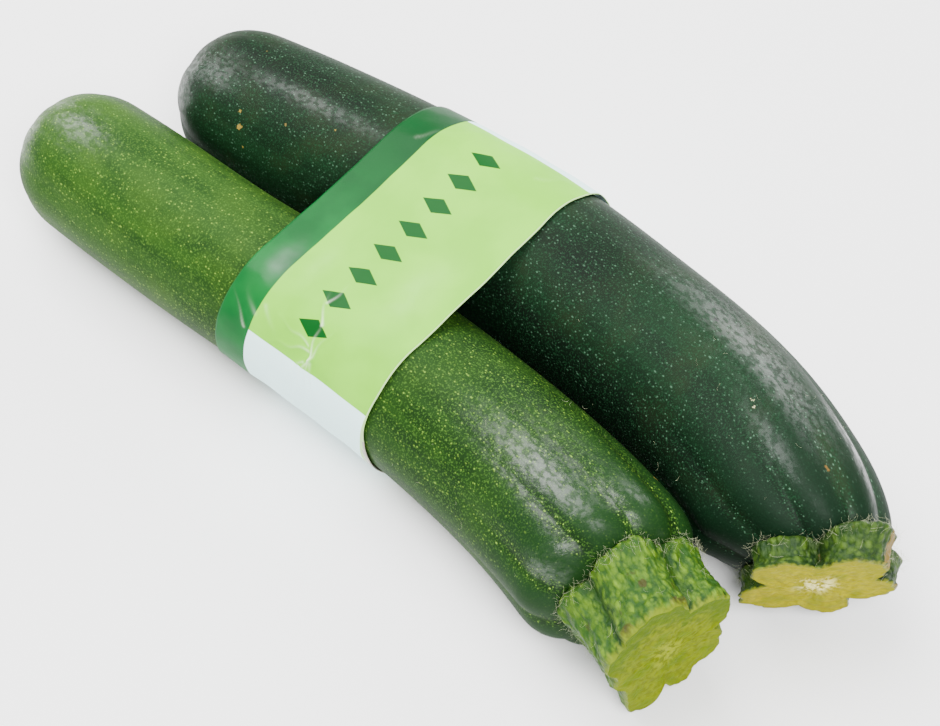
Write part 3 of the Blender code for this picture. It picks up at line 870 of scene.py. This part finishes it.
dark_skin = skin_finish(
    "dark_courgette_skin",
    {key: pair[1] for key, pair in SKIN_COLOURS.items()},
    pale_from=160.0,
    speck_share=0.85,
    speck_cell=0.85,
    marks=(
        ((29.3, 140, 20.2), 0.9, "#8a7430"),
        ((27.7, 130, 20.0), 0.6, "#8a7430"),
        ((31.8, 153, 20.4), 0.5, "#7a6a2c"),
        ((24.3, 80, 19.9), 0.6, "#6a5a2c"),
        ((41.8, 124, 20.6), 0.4, "#6a5a2c"),
        ((55.2, 112, 20.9), 0.4, "#7a6a2c"),
        ((158.5, 73, 22.5), 0.7, "#050805"),
        ((179.4, 93, 22.1), 0.5, "#a8a880"),
        ((181.0, 95, 22.1), 0.4, "#a8a880"),
        ((199.4, 75, 21.0), 0.7, "#6a4e20"),
    ),
)
print("skins:", light_skin.name, dark_skin.name)

# %% [markdown]
# ## Stub finishes
# The stub's sides are ridged and warty, yellow-green on the warts and dark in the creases, with the odd
# brown scar. The cut face is moist flesh: coarse fibres that run out from a pale pith, greener at the rim.

# %% Side of the stub
def stub_side_finish(name, colours):
    made, tree, shader, colours = finish_of(name, **colours)
    kept = ("stub", "dry", "plane")
    marks, dry, place = [node(tree, "Attribute", attribute_name=name)["Vector"] for name in kept]
    way, lobe, bead = node(tree, "SeparateXYZ", {0: marks})
    dry = node(tree, "SeparateXYZ", {0: dry})[0]
    streaky, squat = [
        node(tree, "VectorMath", {0: place, 1: (1, 1, along)}, operation="MULTIPLY")[0]
        for along in (0.6, 0.9)
    ]
    elsewhere = node(tree, "VectorMath", {0: place, 1: (50, 0, 0)}, operation="ADD")[0]
    patches, streaks, mottled, scars, grain = node_rows(tree, "TexNoise", ("Vector", "Scale", "Detail"), (
        (place, 0.22, 4.0),
        (streaky, 0.9, 3.0),
        (squat, 0.5, 3.0),
        (elsewhere, 0.3, 5.0),
        (place, 1.4, 5.0),
    ))
    balls = node(tree, "TexVoronoi", {"Vector": squat, "Scale": 0.62})
    luck = node(tree, "SeparateColor", {0: balls["Color"]})[0]
    ragged = node(tree, "Math", {0: streaks, 1: 0.3, 2: way}, operation="MULTIPLY_ADD")[0]
    ranges = node_rows(tree, "MapRange", (0, 1, 2, 3, 4), (
        (balls["Distance"], 0.75, 0.2, 0, 1),
        (luck, 0.3, 1.0, 0, 1),
        (lobe, 0.3, 0.02, 0, 1),
        (way, 1.0, 0.8, 0, 0.8),
        (streaks, 0.3, 0.6, 0.4, 1.6),
        (mottled, 0.45, 0.68, 0, 0.4),
        (bead, 0.2, 0.9, 0, 0.5),
        (lobe, 0.05, 0.7, 0, 1),
        (streaks, 0.45, 0.62, 0, 0.55),
        (patches, 0.55, 0.68, 0, 0.7),
        (scars, 0.66, 0.72, 0, 0.6),
        (ragged, 1.02, 1.18, 0, 1),
    ), **SOFTLY)
    ball, lucky, in_crease, not_at_cut, tearing, blotched = ranges[:6]
    beaded, on_lobe, fresh, patchy, scarred, rim = ranges[6:]
    products = ((ball, lucky), (in_crease, not_at_cut), (dry, tearing))
    round_blot, hollow, torn = node_rows(tree, "Math", (0, 1), products, operation="MULTIPLY")
    papery = node(tree, "MapRange", {0: torn, 1: 0.4, 2: 0.75, 4: 0.9}, **SOFTLY)[0]
    blot = node(tree, "Math", {0: round_blot, 1: 0.85, 2: blotched}, operation="MULTIPLY_ADD")[0]
    fainter = node(tree, "Math", {0: blot, 1: 0.9}, operation="MULTIPLY")[0]
    warts = node(tree, "Math", {0: beaded, 1: fainter}, operation="MAXIMUM")[0]
    colour = colours["crease"]
    for share, tint in (
        (on_lobe, "side"),
        (fresh, "fresh"),
        (patchy, "crease"),
        (warts, "wart"),
        (hollow, "crease"),
        (scarred, "scar"),
        (papery, "dry"),
        (rim, "rim"),
    ):
        colour = node(tree, "Mix", {0: share, 6: colour, 7: colours[tint]}, **IN_COLOUR)[2]
    height = node(tree, "Math", {0: blot, 1: 0.8, 2: grain}, operation="MULTIPLY_ADD")[0]
    bump = node(tree, "Bump", {"Height": height, "Strength": 1.0, "Distance": 0.35 * MM})[0]
    feed(tree, shader, {"Base Color": colour, "Normal": bump, "Roughness": 0.5, "Specular IOR Level": 0.15})
    return made


# %% Cut face
def cut_finish(name, colours):
    made, tree, shader, colours = finish_of(name, **colours)
    kept = ("stub", "plane")
    marks, place = [node(tree, "Attribute", attribute_name=name)["Vector"] for name in kept]
    way = node(tree, "SeparateXYZ", {0: marks})[0]
    up = node(tree, "SeparateXYZ", {0: place})[1]
    fibre, clumps = [
        node(tree, "TexNoise", {"Vector": place, "Scale": scale, "Detail": detail})[0]
        for scale, detail in ((0.8, 6.0), (0.2, 3.0))
    ]
    near_rim = node(tree, "Math", {0: fibre, 1: 0.3, 2: way}, operation="MULTIPLY_ADD")[0]
    invading = node(tree, "Math", {0: clumps, 1: 0.7, 2: near_rim}, operation="MULTIPLY_ADD")[0]
    ranges = node_rows(tree, "MapRange", (0, 1, 2, 4), (
        (fibre, 0.35, 0.65, 1.0),
        (clumps, 0.46, 0.66, 0.6),
        (near_rim, 1.32, 1.14, 0.6),
        (invading, 1.95, 1.6, 1.0),
        (up, -1.0, 8.0, 0.6),
        (way, 1.6, 1.92, 1.0),
        (fibre, 0.42, 0.56, 0.9),
    ), **SOFTLY)
    pale, greener, rim, outer_part, upper_part, core, threads = ranges
    products = ((outer_part, upper_part), (core, threads))
    upper, pith = node_rows(tree, "Math", (0, 1), products, operation="MULTIPLY")
    colour = colours["flesh"]
    for share, tint in ((pale, "pale"), (greener, "green"), (rim, "rim"), (upper, "upper"), (pith, "pith")):
        colour = node(tree, "Mix", {0: share, 6: colour, 7: colours[tint]}, **IN_COLOUR)[2]
    bump = node(tree, "Bump", {"Height": fibre, "Strength": 1.0, "Distance": 0.5 * MM})[0]
    feed(tree, shader, {"Base Color": colour, "Normal": bump, "Roughness": 0.55, "Specular IOR Level": 0.03})
    return made


# Each colour of the light fruit's stub and of the dark fruit's.
SIDE_COLOURS = {
    "crease": ("#0c2c04", "#081e04"),
    "side": ("#1d3e0c", "#162e0c"),
    "fresh": ("#33520c", "#243c0b"),
    "wart": ("#5a7a14", "#415a18"),
    "scar": ("#2c2a10", "#43370f"),
    "dry": ("#33300f", "#75602a"),
    "rim": ("#66750a", "#6e7410"),
}
CUT_COLOURS = {
    "flesh": ("#566100", "#7d7700"),
    "pale": ("#6a7600", "#918b04"),
    "green": ("#4a6200", "#636b00"),
    "rim": ("#667202", "#7c7a04"),
    "upper": ("#31500a", "#7c7a04"),
    "pith": ("#828c18", "#e0d890"),
}
light_side, dark_side = [
    stub_side_finish(name, {key: pair[i] for key, pair in SIDE_COLOURS.items()})
    for i, name in enumerate(("light_stub_side", "dark_stub_side"))
]
light_cut, dark_cut = [
    cut_finish(name, {key: pair[i] for key, pair in CUT_COLOURS.items()})
    for i, name in enumerate(("light_cut_flesh", "dark_cut_flesh"))
]
print("stub finishes ready")

# %% [markdown]
# ## Printed film
# The film is thin polypropylene, printed on the inside, so a clear glossy layer lies over the ink. The
# print is plain bands of colour: a deep green stripe along the back edge, a pale green field with a row of
# lozenges, and a white panel on either side. The stripe's green is painted deeper towards the dark fruit,
# as painted shade. A coat of clear plastic on the shader gives the gloss. Along the creases the ink is
# painted whitish, part the whitening of the fold and part a painted highlight on the crease ridges. Past
# the ink's front edge the film is clear, with a little haze.

# %% Film finish
# Places on the unrolled strip, in mm: round from the light fruit's top, and along from the back edge.
PANEL_ON_LIGHT, PANEL_ON_DARK = -20.2, 60.5
STRIPE_EDGE, MARGIN_EDGE = 9.35, 46.4
LOZENGE_PITCH, LOZENGE_ROUND, LOZENGE_ALONG = 8.5, 2.3, 4.4
LOZENGES_FROM, LOZENGES_TO, LOZENGES_AT = -15.0, 53.0, 24.0


def film_finish(name):
    made, tree, shader, colours = finish_of(
        name, field="#74bf22", bright="#7cc92a", green="#004d1e", lighter="#005e25", darker="#003714",
        panel="#d8fbfa", lozenge="#024614", margin="#b0d88a", fold="#f0fce0",
    )
    strip = node(tree, "UVMap", uv_map="strip")[0]
    u, v, _ = node(tree, "SeparateXYZ", {0: strip})
    film = node(tree, "Attribute", attribute_name="film")["Vector"]
    sharp, gloss, _ = node(tree, "SeparateXYZ", {0: film})
    along = node(tree, "CombineXYZ", {0: u, 1: v})[0]
    ink, haze = [
        node(tree, "TexNoise", {"Vector": along, "Scale": scale, "Detail": detail})[0]
        for scale, detail in ((0.07, 3.0), (0.22, 4.0))
    ]
    from_top = node(tree, "Math", {0: u, 1: valley}, operation="SUBTRACT")[0]

    # A lozenge is where the steps round and along, each as a share of its half size, add up to less than one.
    repeat = node(tree, "Math", {0: from_top, 1: -LOZENGES_FROM}, operation="ADD")[0]
    repeat = node(tree, "Math", {0: repeat, 1: LOZENGE_PITCH}, operation="MODULO")[0]
    spot = node(tree, "CombineXYZ", {0: repeat, 1: v})[0]
    middle = {0: spot, 1: (LOZENGE_PITCH / 2, LOZENGES_AT, 0.0)}
    steps = node(tree, "VectorMath", middle, operation="SUBTRACT")[0]
    steps = node(tree, "VectorMath", {0: steps}, operation="ABSOLUTE")[0]
    sizes = {0: steps, 1: (1 / LOZENGE_ROUND, 1 / LOZENGE_ALONG, 0.0)}
    away = node(tree, "VectorMath", sizes, operation="DOT_PRODUCT")[1]

    ranges = node_rows(tree, "MapRange", (0, 1, 2, 4), (
        (ink, 0.35, 0.65, 1.0),
        (from_top, PANEL_ON_LIGHT, PANEL_ON_LIGHT - 0.3, 1.0),
        (from_top, PANEL_ON_DARK, PANEL_ON_DARK + 0.3, 1.0),
        (away, 1.04, 0.98, 1.0),
        (from_top, LOZENGES_FROM, LOZENGES_FROM + 0.1, 1.0),
        (from_top, LOZENGES_TO, LOZENGES_TO - 0.1, 1.0),
        (v, STRIPE_EDGE, STRIPE_EDGE - 0.2, 1.0),
        # painted shade: the stripe's green deepens from the light fruit's top towards the dark fruit
        (from_top, 0.0, 45.0, 0.8),
        (v, MARGIN_EDGE, MARGIN_EDGE + 0.1, 1.0),
    ), **SOFTLY)
    inked, on_light, on_dark, lozenge, row_start, row_end, stripe, painted_shade_towards_dark, margin = ranges
    panel = node(tree, "Math", {0: on_light, 1: on_dark}, operation="MAXIMUM")[0]
    for limit in (row_start, row_end):
        lozenge = node(tree, "Math", {0: lozenge, 1: limit}, operation="MULTIPLY")[0]
    # Whitish colour along the creases: part the whitening of the fold, part a painted highlight on the crease
    # ridges.
    folded = node(tree, "Math", {0: sharp, 1: 0.7}, operation="MULTIPLY")[0]
    colour, green = colours["field"], colours["green"]
    # The stripe's green gets random ink tones, then painted shade that deepens it towards the dark fruit.
    for share, tint in ((inked, "lighter"), (painted_shade_towards_dark, "darker")):
        green = node(tree, "Mix", {0: share, 6: green, 7: colours[tint]}, **IN_COLOUR)[2]
    for share, tint in (
        (inked, colours["bright"]),
        (panel, colours["panel"]),
        (lozenge, colours["lozenge"]),
        (stripe, green),
        (margin, colours["margin"]),
        (folded, colours["fold"]),
    ):
        colour = node(tree, "Mix", {0: share, 6: colour, 7: tint}, **IN_COLOUR)[2]

    bump = node(tree, "Bump", {"Height": haze, "Strength": 0.8, "Distance": 0.15 * MM})[0]
    uneven = node(tree, "MapRange", {0: haze, 1: 0.3, 2: 0.7, 3: 0.5, 4: 1.1}, **SOFTLY)[0]
    coat = node(tree, "Math", {0: gloss, 1: uneven, 2: 0.04}, operation="MULTIPLY_ADD")[0]
    feed(tree, shader, {"Base Color": colour, "Coat Weight": coat, "Normal": bump, "Coat Normal": bump})
    feed(tree, shader, {"Roughness": 0.5, "Specular IOR Level": 0.08, "Coat Roughness": 0.16, "IOR": 1.49})
    return made


def clear_film_finish(name):
    made, tree, shader, colours = finish_of(name, thin="#8c8778", hazy="#b4ae9e")
    strip = node(tree, "UVMap", uv_map="strip")[0]
    haze = node(tree, "TexNoise", {"Vector": strip, "Scale": 0.3, "Detail": 3.0})[0]
    colour = node(tree, "Mix", {0: haze, 6: colours["thin"], 7: colours["hazy"]}, **IN_COLOUR)[2]
    feed(tree, shader, {"Base Color": colour, "Roughness": 0.2, "Alpha": 0.9, "IOR": 1.49})
    return made


film_print = film_finish("printed_polypropylene_film")
clear_film = clear_film_finish("clear_polypropylene_film")
print("film finishes ready")

# %% [markdown]
# ## Hand the pieces to the solids
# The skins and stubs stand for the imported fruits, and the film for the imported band.

# %% Pieces
pieces = {}
for fruit, skin_material, side, face in (
    (LIGHT, light_skin, light_side, light_cut),
    (DARK, dark_skin, dark_side, dark_cut),
):
    pieces[fruit["node"]] = [
        show(fruit["node"] + "_skin", skins[fruit["node"]], skin_material),
        show(fruit["node"] + "_stub", stubs[fruit["node"]], side, face),
    ]
band_piece = show("film_band_print", band_mesh, film_print, clear_film)
reach_of = band_strip[:, ::-1].reshape(-1, 3)[:, 2]
first_corner = corners.reshape(-1, 4)[:, 0]
corner_x = band_rings[:, ::-1].reshape(-1, 3)[first_corner, 0]
clear = (corner_x > BAND_FRONT_X + 0.3) & (reach_of[first_corner] > 0.3)
band_mesh.polygons.foreach_set("material_index", clear.astype(np.int32))
print(int(clear.sum()), "faces of the band are clear film")

# %% [markdown]
# ## Hairs
# Young stems are covered in fine pale hairs, densest along the lobes' edges, and a few short ones stick to
# the skin. Being pale and glossy, they catch the light as a thin halo. One small tapered hair is bent along
# a curve and placed at random points of its host by Geometry Nodes, with the number, length and curl as
# named inputs. The result is turned into a plain mesh.

# %% A tree that grows hairs
def hair_tree():
    tree = bpy.data.node_groups.new("plant hairs", "GeometryNodeTree")
    sockets = {}
    for name, kind, value in (
        ("Host", "NodeSocketGeometry", None),
        ("Hairs per square mm", "NodeSocketFloat", 1.0),
        ("Length", "NodeSocketFloat", 0.002),
        ("Thickness", "NodeSocketFloat", 0.00006),
        ("Curl", "NodeSocketFloat", 0.3),
        ("Tilt", "NodeSocketFloat", 0.6),
        ("Seed", "NodeSocketInt", 1),
        ("Material", "NodeSocketMaterial", None),
    ):
        socket = tree.interface.new_socket(name=name, in_out="INPUT", socket_type=kind)
        if value is not None:
            socket.default_value = value
        sockets[name] = socket.identifier
    tree.interface.new_socket(name="Hairs", in_out="OUTPUT", socket_type="NodeSocketGeometry")
    given = node(tree, "NodeGroupInput")
    where = node(tree, "GeometryNodeInputNamedAttribute", {0: "hairy"}, data_type="FLOAT")[0]
    per_metre = node(tree, "Math", {0: given["Hairs per square mm"], 1: 1 / MM**2}, operation="MULTIPLY")[0]
    density = node(tree, "Math", {0: per_metre, 1: where}, operation="MULTIPLY")[0]
    scatter = {"Mesh": given["Host"], "Density": density, "Seed": given["Seed"]}
    points = node(tree, "GeometryNodeDistributePointsOnFaces", scatter)
    middle = node(tree, "CombineXYZ", {0: given["Curl"], 2: 0.5})[0]
    bow = node(tree, "Math", {0: given["Curl"], 1: 0.4}, operation="MULTIPLY")[0]
    end = node(tree, "CombineXYZ", {1: bow, 2: 1.0})[0]
    hair = node(tree, "GeometryNodeCurveQuadraticBezier", {"Resolution": 7, "Middle": middle, "End": end})[0]
    thin = node(tree, "Math", {0: given["Thickness"], 1: given["Length"]}, operation="DIVIDE")[0]
    profile = node(tree, "GeometryNodeCurvePrimitiveCircle", {"Resolution": 3, "Radius": thin})[0]
    sweep = {"Curve": hair, "Profile Curve": profile, "Fill Caps": True}
    solid = node(tree, "GeometryNodeCurveToMesh", sweep)[0]
    spin = node(
        tree,
        "FunctionNodeRandomValue",
        {0: (-1.0, -1.0, -3.1), 1: (1.0, 1.0, 3.1), "Seed": given["Seed"]},
        data_type="FLOAT_VECTOR",
    )[0]
    tilt = node(tree, "CombineXYZ", {0: given["Tilt"], 1: given["Tilt"], 2: 1.0})[0]
    lean = node(tree, "VectorMath", {0: spin, 1: tilt}, operation="MULTIPLY")[0]
    turn = node(
        tree,
        "FunctionNodeRotateRotation",
        {"Rotation": points["Rotation"], "Rotate By": lean},
        rotation_space="LOCAL",
    )[0]
    size = node(
        tree, "FunctionNodeRandomValue", {2: 0.45, 3: 1.0, "Seed": given["Seed"]}, data_type="FLOAT"
    )[1]
    scale = node(tree, "Math", {0: size, 1: given["Length"]}, operation="MULTIPLY")[0]
    placed = node(
        tree,
        "GeometryNodeInstanceOnPoints",
        {"Points": points["Points"], "Instance": solid, "Rotation": turn, "Scale": scale},
    )[0]
    real = node(tree, "GeometryNodeRealizeInstances", {"Geometry": placed})[0]
    finished = node(tree, "GeometryNodeSetMaterial", {"Geometry": real, "Material": given["Material"]})[0]
    node(tree, "NodeGroupOutput", {"Hairs": finished})
    return tree, sockets


def grow_hairs(name, host, hairy, **inputs):
    """Hairs on a copy of the host mesh, as a plain mesh; hairy is 0 to 1 at each of its points."""
    mesh = host.data.copy()
    mesh.attributes.new("hairy", "FLOAT", "POINT").data.foreach_set("value", hairy.astype(np.float32))
    carrier = show("carrier", mesh)
    modifier = carrier.modifiers.new("hairs", "NODES")
    modifier.node_group = HAIRS
    for key, value in inputs.items():
        modifier[HAIR_INPUTS[key]] = value
    depsgraph = bpy.context.evaluated_depsgraph_get()
    grown = bpy.data.meshes.new_from_object(carrier.evaluated_get(depsgraph))
    bpy.data.objects.remove(carrier)
    carried = ("stub", "plane", "dry", "growth", "straight", "patches", "hairy")
    for spare in [a.name for a in grown.attributes if a.name in carried]:
        grown.attributes.remove(grown.attributes[spare])
    print(name, "has", len(grown.polygons), "faces")
    return show(name, grown)


HAIRS, HAIR_INPUTS = hair_tree()

# %% Hair finish
hair_white, tree, shader, colours = finish_of("pale_plant_hair", dull="#8f9a70", bright="#c8c8a8")
place = node(tree, "TexCoord")["Object"]
tint = node(tree, "TexNoise", {"Vector": place, "Scale": 400.0})[0]
colour = node(tree, "Mix", {0: tint, 6: colours["dull"], 7: colours["bright"]}, **IN_COLOUR)[2]
feed(tree, shader, {"Base Color": colour, "Roughness": 0.4})

# %% Grow them
for fruit in (LIGHT, DARK):
    skin, stub = pieces[fruit["node"]]
    marks = np.zeros(len(stub.data.vertices) * 3, np.float32)
    stub.data.attributes["stub"].data.foreach_get("vector", marks)
    way = marks.reshape(-1, 3)[:, 0]
    places = np.array([v.co for v in stub.data.vertices]) / MM
    inside = (places[:, 2] > 4) * (places[:, 0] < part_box(fruit["node"])[1].x / MM - 2.5)
    on_edge = (smooth(-0.02, 0.03, way) * (1 - smooth(0.06, 0.2, way))) + 0.06 * (way < 0.9) * (way > 0)
    fringe = grow_hairs(
        fruit["node"] + "_fringe",
        stub,
        on_edge * inside,
        **{"Hairs per square mm": 0.9, "Length": 2.3 * MM, "Thickness": 0.018 * MM},
        **{"Curl": 0.05, "Tilt": 0.5, "Seed": 3, "Material": hair_white},
    )
    growth = np.zeros(len(skin.data.vertices) * 3, np.float32)
    skin.data.attributes["growth"].data.foreach_get("vector", growth)
    to_neck = growth.reshape(-1, 3)[:, 1]
    heights = np.array([v.co.z for v in skin.data.vertices]) / MM
    strays = grow_hairs(
        fruit["node"] + "_stray_hairs",
        skin,
        (to_neck > 8) * (1 - smooth(30, 90, to_neck)) * (heights > 8),
        **{"Hairs per square mm": 0.01, "Length": 1.4 * MM, "Thickness": 0.014 * MM},
        **{"Curl": 0.35, "Tilt": 1.2, "Seed": 8, "Material": hair_white},
    )
    pieces[fruit["node"]] += [fringe, strays]

# %% [markdown]
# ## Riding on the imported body
# The pack is one rigid thing, so every piece rides on the same body.

# %% Ride and replace
for fruit, slot in ((LIGHT, "light_skin"), (DARK, "dark_skin")):
    for piece in pieces[fruit["node"]]:
        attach(piece, "root")
        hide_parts(fruit["node"])
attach(band_piece, "root")
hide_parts("film_band")

# %% [markdown]
# ## Table and light
# The pack lies on a matt white table, which lights the fruits from below. Four soft boxes stand round it:
# the key on the side of the stems, a large one at the left, a small low one at the blossom ends and one
# behind. A weak even light comes from all around.

# %% Floor
floor_mesh = bpy.data.meshes.new("floor")
floor_mesh.from_pydata([(-3, -3, 0), (3, -3, 0), (3, 3, 0), (-3, 3, 0)], [], [(0, 1, 2, 3)])
floor_white, tree, shader, colours = finish_of("matt_white_table", dull="#fbfbfb", bright="#fefefe")
place = node(tree, "TexCoord")["Object"]
tint = node(tree, "TexNoise", {"Vector": place, "Scale": 3.0})[0]
colour = node(tree, "Mix", {0: tint, 6: colours["dull"], 7: colours["bright"]}, **IN_COLOUR)[2]
feed(tree, shader, {"Base Color": colour, "Roughness": 0.9, "Specular IOR Level": 0.1})
floor = show("floor", floor_mesh, floor_white)

# %% Lights
world = bpy.data.worlds.new("studio")
world.use_nodes = True
world.node_tree.nodes["Background"].inputs[0].default_value = (1.0, 1.0, 1.0, 1.0)
world.node_tree.nodes["Background"].inputs[1].default_value = 0.7
bpy.context.scene.world = world


def softbox(name, direction, distance, size, power):
    """A square area light at a distance in metres from the pack, looking at its middle."""
    data = bpy.data.lights.new(name, "AREA")
    data.size = size
    data.energy = power
    lamp = bpy.data.objects.new(name, data)
    direction = Vector(direction).normalized()
    lamp.location = direction * distance
    lamp.rotation_euler = direction.to_track_quat("Z", "Y").to_euler()
    bpy.context.scene.collection.objects.link(lamp)
    return lamp


softbox("key", (0.50, -0.25, 0.85), 1.2, 0.6, 27)
softbox("left", (-0.48, 0.03, 0.88), 1.2, 1.0, 32)
softbox("low left", (-0.88, 0.05, 0.47), 1.2, 0.5, 4)
softbox("back", (-0.20, 0.86, 0.45), 1.2, 0.9, 13)
